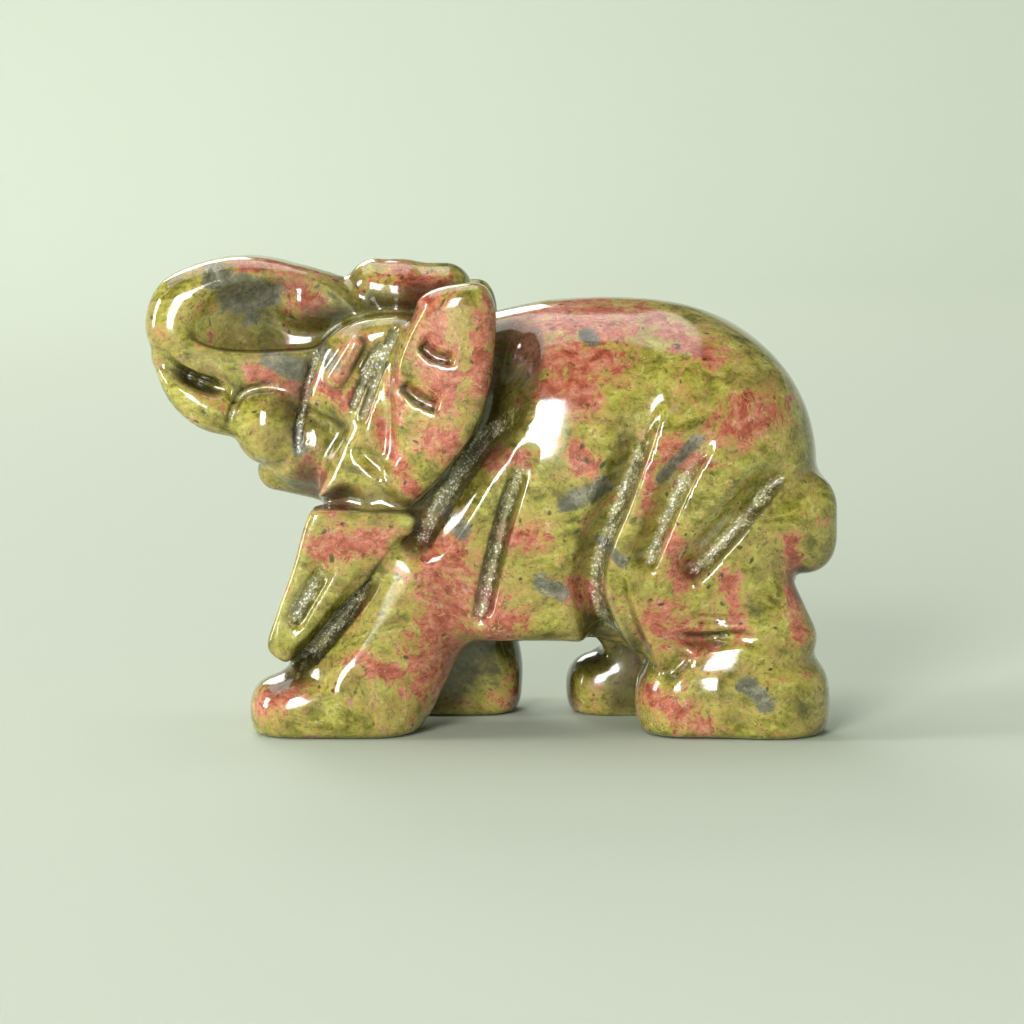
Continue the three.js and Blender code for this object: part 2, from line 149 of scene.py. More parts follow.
@dataclass(frozen=True)
class Egg(Form):
    """Ellipsoid, turned by lean in the side view."""

    centre: Place
    radii: Place
    lean: float = 0.0

    def distance(self, x: Array, y: Array, z: Array) -> Array:
        """How far each place lies outside the egg."""
        (cx, cy, cz), (rx, ry, rz) = self.centre, self.radii
        c, s = math.cos(self.lean), math.sin(self.lean)
        u = ((x - cx) * c + (z - cz) * s) / rx
        v = (y - cy) / ry
        w = ((z - cz) * c - (x - cx) * s) / rz
        near = np.maximum(span(u, v, w), FAINT)
        return near * (near - 1) / np.maximum(span(u / rx, v / ry, w / rz), FAINT)


@dataclass(frozen=True)
class Block(Form):
    """Block with its corners rounded by plan seen from above, and its top and bottom edges by edge."""

    centre: Place
    half: Place
    plan: float
    edge: float
    lean: float = 0.0

    def distance(self, x: Array, y: Array, z: Array) -> Array:
        """How far each place lies outside the block."""
        (cx, cy, cz), (hx, hy, hz) = self.centre, self.half
        c, s = math.cos(self.lean), math.sin(self.lean)
        u = np.abs((x - cx) * c + (z - cz) * s) - hx + self.plan
        v = np.abs(y - cy) - hy + self.plan
        w = np.abs((z - cz) * c - (x - cx) * s) - hz
        wall = span(np.maximum(u, 0), np.maximum(v, 0)) + np.minimum(np.maximum(u, v), 0) - self.plan
        return common(wall, w, self.edge)


@dataclass(frozen=True)
class Limb(Form):
    """Limb from one joint to the next, each (x, y, z, radius), its section squeezed across by flat."""

    start: Joint
    end: Joint
    flat: float = 1.0

    def distance(self, x: Array, y: Array, z: Array) -> Array:
        """How far each place lies outside the limb."""
        (ax, ay, az, ar), (bx, by, bz, br) = self.start, self.end
        dx, dy, dz = bx - ax, by - ay, bz - az
        run = dx * dx + dy * dy + dz * dz
        t = np.clip(((x - ax) * dx + (y - ay) * dy + (z - az) * dz) / run, 0, 1)
        return span(x - ax - t * dx, (y - ay - t * dy) / self.flat, z - az - t * dz) - ar - t * (br - ar)


@dataclass(frozen=True)
class Tube(Form):
    """Tube that swells and thins along a smooth curve through stations (x, y, z, radius)."""

    stations: tuple[Joint, ...]
    steps: int = 4

    @cached_property
    def limbs(self) -> list[Limb]:
        """The short straight stretches that the tube is made of."""
        rings = [tuple(ring) for ring in smooth_line(self.stations, False, self.steps)]
        return [Limb(a, b) for a, b in zip(rings, rings[1:])]

    def distance(self, x: Array, y: Array, z: Array) -> Array:
        """How far each place lies outside the tube."""
        return np.minimum.reduce([limb.distance(x, y, z) for limb in self.limbs])


@dataclass(frozen=True)
class Outline:
    """Closed smooth outline in the side view."""

    points: tuple[Spot, ...]
    steps: int = 5
    reach: float = 4.0

    @cached_property
    def line(self) -> Array:
        """Places along the outline."""
        return smooth_line(self.points, True, self.steps)

    def distance(self, x: Array, z: Array) -> Array:
        """How far each place of the side view lies outside; beyond reach, how far it is from the box."""
        x, z = np.broadcast_arrays(x, z)
        (low_x, low_z), (high_x, high_z) = self.line.min(0), self.line.max(0)
        beside, over = np.maximum(low_x - x, x - high_x), np.maximum(low_z - z, z - high_z)
        box = span(np.maximum(beside, 0), np.maximum(over, 0))
        near = box < self.reach
        px, pz = x[near], z[near]
        best = np.full(px.shape, np.inf)
        inside = np.zeros(px.shape, bool)
        for (ax, az), (bx, bz) in zip(self.line, self.line[1:]):
            dx, dz = bx - ax, bz - az
            t = np.clip(((px - ax) * dx + (pz - az) * dz) / (dx * dx + dz * dz), 0, 1)
            best = np.minimum(best, (px - ax - t * dx) ** 2 + (pz - az - t * dz) ** 2)
            if az != bz:
                inside ^= ((az > pz) != (bz > pz)) & (px < dx * (pz - az) / dz + ax)
        result = box.copy()
        result[near] = np.where(inside, -1, 1) * np.sqrt(best)
        return result


class Crisp(Enum):
    """Which side of a stroke ends in a sharp edge."""

    NONE = "none"
    LEFT = "left"
    RIGHT = "right"
    BOTH = "both"


@dataclass(frozen=True)
class Stroke:
    """Stroke of the carver's wheel, drawn upwards or to the right in the side view.

    It is deepest on its line, runs out over left and right to either side, and thins over start and end,
    shares of its length. Its matte floor shows where grind is over 0.
    """

    points: tuple[Spot, ...]
    left: float
    right: float
    depth: float
    crisp: Crisp = Crisp.RIGHT
    start: float = 0.2
    end: float = 0.2
    grind: float = 0.0

    @cached_property
    def line(self) -> Array:
        """Places along the stroke."""
        return smooth_line(self.points, False, 4)

    def profile(self, x: Array, z: Array) -> Array:
        """Share of the full depth that the stroke has at each place of the side view."""
        x, z = np.broadcast_arrays(x, z)
        reach = max(self.left, self.right)
        (low_x, low_z), (high_x, high_z) = self.line.min(0) - reach, self.line.max(0) + reach
        near = (x > low_x) & (x < high_x) & (z > low_z) & (z < high_z)
        px, pz = x[near], z[near]
        best = np.full(px.shape, np.inf)
        on_right = np.zeros(px.shape, bool)
        along = np.zeros(px.shape)
        for i, ((ax, az), (bx, bz)) in enumerate(zip(self.line, self.line[1:])):
            dx, dz = bx - ax, bz - az
            t = np.clip(((px - ax) * dx + (pz - az) * dz) / (dx * dx + dz * dz), 0, 1)
            ex, ez = px - ax - t * dx, pz - az - t * dz
            off = ex * ex + ez * ez
            closer = off < best
            best = np.where(closer, off, best)
            on_right = np.where(closer, dx * ez < dz * ex, on_right)
            along = np.where(closer, (i + t) / (len(self.line) - 1), along)
        share = np.minimum(np.sqrt(best) / np.where(on_right, self.right, self.left), 1)
        right, left = self.crisp in (Crisp.RIGHT, Crisp.BOTH), self.crisp in (Crisp.LEFT, Crisp.BOTH)
        sharp = np.where(on_right, right, left)
        section = np.where(sharp, 1 - share**1.5, (1 - share * share) ** 2)
        result = np.zeros(x.shape)
        result[near] = section * ease(0, self.start, along) * ease(0, self.end, 1 - along)
        return result


@dataclass(frozen=True)
class Strokes:
    """Several strokes cut into the same form, with a matte floor that reaches this far from their lines."""

    strokes: tuple[Stroke, ...]
    floor: float = 0.75

    def depth(self, x: Array, z: Array) -> Array:
        """How deep they cut at each place of the side view."""
        return sum(stroke.depth * stroke.profile(x, z) for stroke in self.strokes)

    def grind(self, x: Array, z: Array) -> Array:
        """How matte they leave the stone at each place, from 0 to 1."""
        floors = [replace(stroke, left=min(stroke.left, self.floor), right=min(stroke.right, self.floor))
                  for stroke in self.strokes]
        return np.maximum.reduce([stroke.grind * stroke.profile(x, z) for stroke in floors])


@dataclass(frozen=True)
class Legs:
    """The four legs, from shoulder or thigh to foot, and the flap in front of the left foreleg."""

    left_foreleg: Form = Joined(1.2, (
        Egg((-2.4, -4.4, 17.2), (5.4, 4.7, 7.8), 0.3),
        Limb((-4.6, -4.2, 15, 5), (-9.4, -4.4, 3.9, 4.6)),
        Limb((-2.8, -4, 15, 4.5), (-7.6, -4.3, 3.6, 4)),
        Block((-8.8, -4.8, 10), (4.2, 3.3, 6.4), 2.4, 1.6, -0.467),
        Limb((-14.8, -4.9, 1.8, 2.2), (-11, -4.8, 3.2, 3.4), 1.25),
        Block((-11.2, -4.9, 1.6), (5.8, 3.9, 2.2), 3, 2),
    ))
    right_foreleg: Form = Joined(1.6, (
        Egg((-3, 4.4, 17.2), (5.6, 4.7, 7.8)),
        Limb((-4, 4.8, 15, 4.7), (-2.4, 4.9, 5, 4.4), 0.92),
        Block((-3.6, 4.9, 2), (5.9, 3.9, 2.5), 3.2, 2.4),
    ))
    left_thigh: Form = Joined(2, (
        Egg((14.9, -3.9, 17.6), (7.7, 5.9, 10.4), -0.2),
        Block((15.6, -4.7, 9.6), (6.2, 3.8, 6.6), 2.6, 2, 0.44),
    ))
    left_hind_foot: Form = Joined(1.2, (
        Block((17.4, -4.9, 2.4), (6.7, 4.2, 2.6), 3.2, 1.8),
        Limb((13, -4.9, 2.4, 2.3), (16.4, -4.9, 3, 3.6), 1.15),
        Limb((17.8, -4.8, 9, 3.8), (19.9, -4.9, 2.4, 4.3)),
    ))
    right_thigh: Form = Joined(2, (
        Egg((14.6, 3.9, 18), (7.7, 5.7, 10.4), -0.1),
        Block((13.4, 4.9, 9), (5.6, 3.9, 7.4), 2.6, 2.4, 0.12),
    ))
    right_hind_foot: Form = Joined(1.4, (
        Block((12.4, 4.9, 1.6), (6.3, 4, 2.3), 3.2, 1.9),
        Limb((8.2, 4.8, 1.9, 2.4), (12, 4.8, 3.4, 3.4), 1.12),
    ))
    flap_outline: Outline = Outline((
        (-12.9, 16.1), (-12.5, 16.5), (-9, 16.4), (-5.3, 16), (-6.7, 13), (-9.8, 8.8),
        (-12.8, 5.5), (-14.6, 5.6), (-15.8, 6.6), (-15.2, 9), (-14, 12.4),
    ))

    def flap(self, x: Array, y: Array, z: Array) -> Array:
        """How far each place lies outside the flap."""
        return common(self.flap_outline.distance(x, z), np.abs(y + 7.3) - 1.8, 0.6)


@dataclass(frozen=True)
class Body:
    """Barrel of the body with its legs, and the carving of both."""

    legs: Legs = Legs()
    barrel: Form = Joined(2.5, (
        Egg((8.4, 0, 19.3), (14.8, 8.9, 11.8)),
        Egg((13.2, 0, 19), (9.2, 8.8, 10.6)),
        Limb((-7.5, 0, 23.2, 6.2), (2.5, 0, 21.6, 8.3), 0.95),
        Egg((-2.6, 0, 17.6), (8.4, 7.4, 9.4)),
        Egg((8, -4.2, 18.4), (9, 5.2, 10.6)),
    ))
    belly: Form = Block((4.6, 0, 14), (7.6, 8.5, 7.2), 3, 2.6)
    throat: Form = Block((-7.2, 0, 18), (4.8, 6.2, 3.2), 2, 2)
    flank: Strokes = Strokes((
        Stroke(((-6.6, 12.8), (-4.6, 15.4), (-1.8, 20), (0.6, 24.4), (1.4, 27.6), (1, 30)),
               3.6, 2.6, 1.5, Crisp.NONE, 0.2, 0.35),
        Stroke(((-5.8, 13), (-4.4, 15.4), (-2.6, 18.4), (-0.4, 21.4), (2.9, 24.4)), 2.8, 1, 1.5,
               Crisp.RIGHT, 0.3, 0.3, 1),
        Stroke(((-0.9, 7.8), (0.2, 12.9), (1.2, 16.7), (2.2, 19.6), (3.2, 22)),
               0.7, 1.1, 1.0, Crisp.LEFT, 0.1, 0.5, 0.8),
        Stroke(((10.6, 4), (8.5, 7.8), (7.5, 10.8), (7.9, 13.8), (9.1, 16.9), (10.3, 20.2), (11.3, 23),
                (12.3, 25.6)),
               2.4, 0.8, 1.6, Crisp.RIGHT, 0.01, 0.35, 0.7),
        Stroke(((10.9, 11.9), (12.1, 15), (13.7, 18.8), (16.2, 22.6)),
               2.2, 0.7, 1.3, Crisp.RIGHT, 0.15, 0.35, 0.7),
    ))
    left_thigh: Strokes = Strokes((
        Stroke(((13.7, 11.1), (16, 13.7), (19.2, 17.3), (21.6, 20)),
               2.6, 0.75, 1.4, Crisp.RIGHT, 0.15, 0.3, 0.6),
        Stroke(((12.4, 3.2), (10.9, 6.8), (9.5, 10.4), (9.1, 12.8)),
               1.7, 0.5, 0.7, Crisp.RIGHT, 0.2, 0.3, 0.2),
    ))
    ankle: Strokes = Strokes((
        Stroke(((12.6, 7.7), (14.4, 7.3), (17.4, 7.5), (20.4, 7.2)),
               0.5, 1.1, 0.75, Crisp.LEFT, 0.35, 0.5, 0.2),
        Stroke(((13.2, 8.9), (16.6, 8.7), (19.6, 8.8)), 0.5, 0.5, 0.25, Crisp.NONE, 0.3, 0.4),
        Stroke(((12.4, 4), (13.4, 5.2), (14.3, 6.3)), 1.1, 0.5, 0.45, Crisp.RIGHT, 0.3, 0.2),
    ))
    flap: Strokes = Strokes((
        Stroke(((-14.6, 7.4), (-13.6, 9.4), (-12.4, 11.4), (-10.8, 13.6)),
               0.8, 0.8, 0.9, Crisp.BOTH, 0.35, 0.45, 0.9),
        Stroke(((-14.2, 4.9), (-12.6, 6.4), (-9.9, 9.6), (-7.2, 13.4)),
               1.2, 0.9, 1.4, Crisp.BOTH, 0.25, 0.45, 0.8),
        Stroke(((-13.8, 3.8), (-12.6, 6.4), (-9.9, 9.6), (-7.2, 13.4), (-5.8, 15.2)), 0.3, 2.6, 0.27,
               Crisp.RIGHT, 0.1, 0.1),
    ))

    def distance(self, x: Array, y: Array, z: Array) -> Array:
        """How far each place lies outside the body and legs."""
        legs = self.legs
        total = self.barrel.distance(x, y, z)
        for form, fillet in ((self.belly, 2.2), (self.throat, 1.5), (legs.left_foreleg, 1.6),
                             (legs.right_foreleg, 1.6), (legs.left_thigh, 3), (legs.right_thigh, 3)):
            total = blend(total, form.distance(x, y, z), fillet)
        outer, left = ease(2, 5, np.abs(y)), ease(2, 5, -y)
        total = total + outer * self.flank.depth(x, z) + left * self.left_thigh.depth(x, z)
        total = blend(total, legs.left_hind_foot.distance(x, y, z), 0.8)
        total = blend(total, legs.right_hind_foot.distance(x, y, z), 0.8)
        total = blend(total, legs.flap(x, y, z), 0.5)
        return total + left * self.ankle.depth(x, z) + ease(4.5, 7, -y) * self.flap.depth(x, z)


@dataclass(frozen=True)
class Trunk:
    """Flat curl scooped out on both sides, its end laid over the forehead, with the tusks on its band."""

    curl_outline: Outline = Outline((
        (-24.9, 28.9), (-24, 32), (-21, 33.6), (-17.4, 34.1), (-13.8, 33.4), (-10.6, 31.9),
        (-9, 28.6), (-12.5, 23), (-17.8, 22.4), (-20.6, 23.2), (-23.4, 25.8),
    ))
    scoop_floor: Outline = Outline((
        (-23.5, 29.6), (-22, 28.7), (-20.4, 27.8), (-18.4, 27.4), (-15, 27.4),
        (-12.4, 27.7), (-10.6, 29), (-9, 30.2), (-8, 38), (-26, 38),
    ))
    hollow: Form = Egg((-15, 7.5, 29.1), (8.6, 6.1, 5.4), 0.06)
    tusk: Form = Tube((
        (-18.6, 2.8, 22.9, 1.7), (-20.2, 2.9, 23.3, 1.65), (-22, 2.8, 24.6, 1.4), (-23.4, 2.1, 26.8, 1),
    ))
    end: Form = Joined(0.7, (
        Limb((-13.5, 0, 30.9, 2.2), (-9.4, 0, 30.2, 2), 1.3),
        Limb((-8.3, 0, 31.8, 2.1), (-6.6, 0, 31.5, 2.3), 1.3),
        Limb((-6.4, 0, 31.5, 2.1), (-3.3, 0, 31.6, 2), 1.3),
    ))
    carving: Strokes = Strokes((
        Stroke(((-24, 27.6), (-22.6, 26.2), (-20.5, 25.2), (-18.2, 24.6)),
               0.6, 1.1, 0.85, Crisp.LEFT, 0.5, 0.3, 0.8),
    ))

    def distance(self, x: Array, side: Array, z: Array) -> Array:
        """How far each place lies outside the curl and the tusks."""
        curl = common(self.curl_outline.distance(x, z), side - 4 + 0.1 * np.maximum(z - 29, 0), 2.4)
        scoop = common(self.hollow.distance(x, side, z), self.scoop_floor.distance(x, z), 0.3)
        total = blend(cut_away(curl, scoop, 0.4), self.tusk.distance(x, side, z), 0.6)
        return total + self.carving.depth(x, z)


@dataclass(frozen=True)
class Ears:
    """Two slabs that stand off the neck, further at their rear edge, each with a raised lobe."""

    outline: Outline = Outline((
        (-2.4, 32.5), (-0.5, 32.5), (0.3, 31.3), (0.4, 28.3), (0, 25), (-0.9, 22.4), (-2.5, 20), (-4.2, 18),
        (-5.8, 16.7), (-7.4, 17.6), (-8.7, 17), (-10.2, 17.7), (-12.2, 17.2), (-11.9, 18.2),
        (-10.9, 20.5), (-8.8, 25.1), (-6.8, 29.2), (-4.6, 31.8),
    ))
    carving: Strokes = Strokes((
        Stroke(((-5, 28.3), (-4, 27.4), (-2.4, 27.1)), 1.1, 0.3, 0.75, Crisp.RIGHT, 0.12, 0.12),
        Stroke(((-6.4, 25.4), (-5, 24.3), (-3.6, 23.7)), 1.2, 0.3, 0.85, Crisp.RIGHT, 0.12, 0.12),
        Stroke(((-9.8, 21.3), (-8.3, 19.9), (-6.8, 18.7)), 0.7, 0.9, 0.5, Crisp.LEFT, 0.3, 0.3),
        Stroke(((-6.3, 19.6), (-6.9, 22), (-7.1, 25.6), (-5.9, 29.4), (-4.6, 31.6)), 1.8, 0.5, 0.55,
               Crisp.RIGHT, 0.15, 0.2),
    ))

    def distance(self, x: Array, side: Array, z: Array) -> Array:
        """How far each place lies outside the ears."""
        lobe = ease(-7.2, -5.9, x + 0.1 * np.abs(z - 24)) * ease(15.5, 21, z)
        outside = 7.3 + 0.22 * (x + 12) + 0.9 * lobe - 0.6 * ease(-3, 1, x)
        slab = common(self.outline.distance(x, z), side - outside, 1.5)
        return common(slab, outside - 3 - side, 1) + self.carving.depth(x, z)


@dataclass(frozen=True)
class Head:
    """Skull, face, jaw and cheeks, the same on both sides, with the trunk and the ears."""

    trunk: Trunk = Trunk()
    ears: Ears = Ears()
    face_outline: Outline = Outline((
        (-13.2, 24), (-10.4, 22.2), (-6.5, 20.4), (-3.4, 24), (-3.6, 29),
        (-6, 30), (-8.6, 29.9), (-10.6, 29.2), (-12, 27.9), (-12.8, 25.8),
    ))
    skull: Form = Egg((-7.6, 0, 24.2), (5.8, 6.6, 5.4), -0.3)
    jaw: Form = Limb((-9.6, 1.6, 20.2, 3.4), (-13.4, 1.6, 20.6, 3.2))
    cheek: Form = Egg((-15.9, 2.7, 22), (2.6, 2.4, 3), 0.2)
    lip: Form = Limb((-15.4, 0.9, 18.6, 1.5), (-12.6, 1, 18.4, 1.9))
    far_ear_drop: float = 0.7
    eye: Form = Limb((-10.9, 7.1, 25.8, 0.8), (-9.5, 7.4, 28.1, 0.7))
    carving: Strokes = Strokes((
        Stroke(((-9.9, 23.2), (-8.8, 25.9), (-7.4, 28.7)), 0.36, 0.36, 0.5, Crisp.BOTH, 0.15, 0.15, 1.2),
        Stroke(((-9.2, 22.3), (-8, 25.9), (-6.5, 29.6)), 0.36, 0.36, 0.5, Crisp.BOTH, 0.15, 0.15, 1.2),
        Stroke(((-13.7, 19.6), (-13.7, 22), (-13.3, 23.8), (-12.9, 25.6), (-12.2, 27.7)),
               0.38, 0.38, 0.5, Crisp.BOTH, 0.2, 0.15, 1.2),
        Stroke(((-9.6, 25.9), (-8.9, 27.2), (-8.3, 28.2)), 0.6, 0.4, 0.5, Crisp.LEFT, 0.3, 0.3),
        Stroke(((-18.9, 21.6), (-18.5, 23), (-17.8, 24.4), (-16, 24.9), (-14, 24.5)),
               0.5, 0.5, 0.55, Crisp.NONE, 0.25, 0.3, 0.5),
        Stroke(((-17.4, 19.8), (-15.8, 19.2), (-14.2, 19.5)), 0.4, 0.5, 0.5, Crisp.NONE, 0.3, 0.3),
    ))

    def distance(self, x: Array, y: Array, z: Array) -> Array:
        """How far each place lies outside the head."""
        side = np.abs(y)
        face = common(self.face_outline.distance(x, z), side - 7 - 0.13 * (x + 12), 1.8)
        total = blend(self.skull.distance(x, side, z), self.jaw.distance(x, side, z), 1.6)
        total = blend(total, face, 0.8)
        for form, fillet in ((self.eye, 0.3), (self.trunk, 0.5), (self.cheek, 0.5), (self.lip, 0.5),
                             (self.trunk.end, 0.8)):
            total = blend(total, form.distance(x, side, z), fillet)
        total = blend(total, self.ears.distance(x, side, z + self.far_ear_drop * (y > 0)), 0.4)
        return total + ease(2, 5, side) * self.carving.depth(x, z)


@dataclass(frozen=True)
class Figure(Form):
    """The whole carving, standing on flat soles with a softly worn rim."""

    body: Body = Body()
    head: Head = Head()
    tail: Form = Joined(1.2, (
        Block((22, -3.8, 15.2), (2.9, 3.6, 3.7), 2.4, 2.9),
        Limb((20.6, -6, 15.2, 2.8), (15.2, -8.6, 11.4, 0.6)),
    ))
    leg_gap: float = 2.6
    crotch: float = 7.4
    sole_rim: float = 0.5

    def distance(self, x: Array, y: Array, z: Array) -> Array:
        """How far each place lies outside the carving."""
        saw = np.maximum(np.abs(y) - self.leg_gap / 2, z - self.crotch)
        total = cut_away(self.body.distance(x, y, z), saw, 0.8)
        total = blend(total, self.head.distance(x, y, z), 0.9)
        total = blend(total, self.tail.distance(x, y, z), 0.7)
        return common(total, -z, self.sole_rim)

    def grind(self, x: Array, y: Array, z: Array) -> Array:
        """How matte the carver's wheel left each place, from 0 to 1."""
        body, head = self.body, self.head
        outer, left = ease(2, 5, np.abs(y)), ease(2, 5, -y)
        on_body = np.maximum(outer * body.flank.grind(x, z), left * body.left_thigh.grind(x, z))
        on_body = np.maximum(on_body, left * body.ankle.grind(x, z))
        on_body = np.maximum(on_body, ease(4.5, 7, -y) * body.flap.grind(x, z))
        off_ear = ease(0, 0.4, head.ears.distance(x, np.abs(y), z))
        on_head = outer * np.maximum(head.carving.grind(x, z), head.trunk.carving.grind(x, z))
        return np.maximum(on_body * off_ear, on_head)


CORNERS = [(i & 1, (i >> 1) & 1, (i >> 2) & 1) for i in range(8)]
CELL_EDGES = [(a, a | bit) for a in range(8) for bit in (1, 2, 4) if not a & bit]


def forked(mask: int) -> bool:
    """Whether a cell's solid corners, or its empty ones, fall apart into several groups."""
    group = list(range(8))
    for _ in range(8):
        for a, b in CELL_EDGES:
            if (mask >> a) & 1 == (mask >> b) & 1:
                group[a] = group[b] = min(group[a], group[b])
    return len(set(group)) > 2


@dataclass
class Skin:
    """Closed skin of a form: one point in each grid cell that the surface crosses."""

    form: Form
    lines: tuple[Array, Array, Array]
    points: Array = field(init=False)
    quads: Array = field(init=False)

    def __post_init__(self) -> None:
        """Lays the skin over the form."""
        xs, ys, zs = self.lines
        value = np.array(self.form.distance(xs[:, None, None], ys[None, :, None], zs[None, None, :]))
        self.fill_pinches(value)
        self.lay(value)

    @staticmethod
    def masks(value: Array) -> Array:
        """Eight bits for each cell, one for each of its corners that is solid."""
        inside = (value < 0).astype(np.uint8)
        nx, ny, nz = (n - 1 for n in value.shape)
        mask = np.zeros((nx, ny, nz), np.uint8)
        for i, (a, b, c) in enumerate(CORNERS):
            mask |= inside[a:a + nx, b:b + ny, c:c + nz] << i
        return mask

    def fill_pinches(self, value: Array) -> None:
        """Fills gaps narrower than a cell, which would pinch the skin."""
        table = np.array([forked(mask) for mask in range(256)])
        while True:
            cells = np.argwhere(table[self.masks(value)])
            if not len(cells):
                return
            corners = cells[:, None, :] + np.array(CORNERS)[None]
            held = value[corners[..., 0], corners[..., 1], corners[..., 2]]
            pick = np.where(held >= 0, held, np.inf).argmin(1)
            filled = corners[np.arange(len(cells)), pick]
            value[filled[:, 0], filled[:, 1], filled[:, 2]] = JUST_SOLID

    def lay(self, value: Array) -> None:
        """Places a point in each cell that the surface crosses, and joins them to quads."""
        mask = self.masks(value)
        cells = np.argwhere((mask > 0) & (mask < 255))
        number = np.full(value.shape, -1)
        number[cells[:, 0], cells[:, 1], cells[:, 2]] = np.arange(len(cells))
        total = np.zeros((len(cells), 3))
        count = np.zeros((len(cells), 1))
        for a, b in CELL_EDGES:
            p, q = cells + CORNERS[a], cells + CORNERS[b]
            at_p, at_q = value[tuple(p.T)], value[tuple(q.T)]
            crossed = (at_p < 0) != (at_q < 0)
            share = np.where(crossed, at_p / np.where(crossed, at_p - at_q, 1), 0)[:, None]
            start = np.stack([self.lines[k][p[:, k]] for k in range(3)], 1)
            stop = np.stack([self.lines[k][q[:, k]] for k in range(3)], 1)
            total += crossed[:, None] * (start + (stop - start) * share)
            count += crossed[:, None]
        self.points = total / count
        solid = value < 0
        quads = []
        for axis in range(3):
            u, v = np.eye(3, dtype=int)[(axis + 1) % 3], np.eye(3, dtype=int)[(axis + 2) % 3]
            step = np.eye(3, dtype=int)[axis]
            low = [slice(0, n - s) for n, s in zip(value.shape, step)]
            high = [slice(s, n) for n, s in zip(value.shape, step)]
            at = np.argwhere(solid[tuple(low)] != solid[tuple(high)])
            ring = np.stack([number[tuple((at - shift).T)] for shift in (0 * u, u, u + v, v)], 1)
            outward = solid[tuple(at.T)]
            quads.append(np.where(outward[:, None], ring, ring[:, ::-1]))
        self.quads = np.vstack(quads)

    def slope(self, probe: float = 0.02) -> Array:
        """Steepest way out of the form at each point, as a vector."""
        x, y, z = self.points.T
        here = self.form.distance(x, y, z)
        return np.stack([
            self.form.distance(x + probe, y, z) - here,
            self.form.distance(x, y + probe, z) - here,
            self.form.distance(x, y, z + probe) - here,
        ], 1) / probe

    def settle(self, rounds: int, reach: float) -> None:
        """Moves each point onto the surface along the steepest way, by no more than reach."""
        for _ in range(rounds):
            slope = self.slope()
            size = np.maximum(np.linalg.norm(slope, axis=1), 0.5)
            step = np.clip(self.form.distance(*self.points.T) / size, -reach, reach) / size
            self.points = self.points - slope * step[:, None]

    def relief(self, reach: float) -> tuple[Array, Array]:
        """How far each point lies in a hollow, and on a ridge, both from 0 to 1.

        Args:
            reach: How wide a hollow or ridge is looked for.

        Returns:
            The share of reach that the form fills outside each point, and leaves empty inside it.
        """
        slope = self.slope()
        outward = slope / np.maximum(np.linalg.norm(slope, axis=1), FAINT)[:, None]
        over = self.form.distance(*(self.points + outward * reach).T)
        under = self.form.distance(*(self.points - outward * reach).T)
        return np.clip(1 - over / reach, 0, 1), np.clip(1 + under / reach, 0, 1)

    def relax(self, share: float) -> None:
        """Evens out the quads: each point moves towards the middle of its neighbours."""
        total = np.zeros_like(self.points)
        count = np.zeros(len(self.points))
        for shift in (1, 3):
            beside = np.roll(self.quads, shift, axis=1)
            np.add.at(total, self.quads.ravel(), self.points[beside.ravel()])
            np.add.at(count, self.quads.ravel(), 1)
        self.points = self.points + share * (total / count[:, None] - self.points)


@dataclass(frozen=True)
class Smear:
    """Streak of another mineral in the stone, from one spot of the side view to another."""

    start: Spot
    end: Spot
    radius: float

    def strength(self, x: Array, z: Array) -> Array:
        """How much of the mineral each place holds, from 0 to about 1."""
        (ax, az), (bx, bz) = self.start, self.end
        dx, dz = bx - ax, bz - az
        run = max(dx * dx + dz * dz, FAINT)
        t = np.clip(((x - ax) * dx + (z - az) * dz) / run, 0, 1)
        return np.exp(-((x - ax - t * dx) ** 2 + (z - az - t * dz) ** 2) / (1.6 * self.radius) ** 2)


def smears(*rows: tuple[float, ...]) -> tuple[Smear, ...]:
    """Streaks from rows of the x and z of the start, those of the end, and the radius."""
    return tuple(Smear((ax, az), (bx, bz), radius) for ax, az, bx, bz, radius in rows)


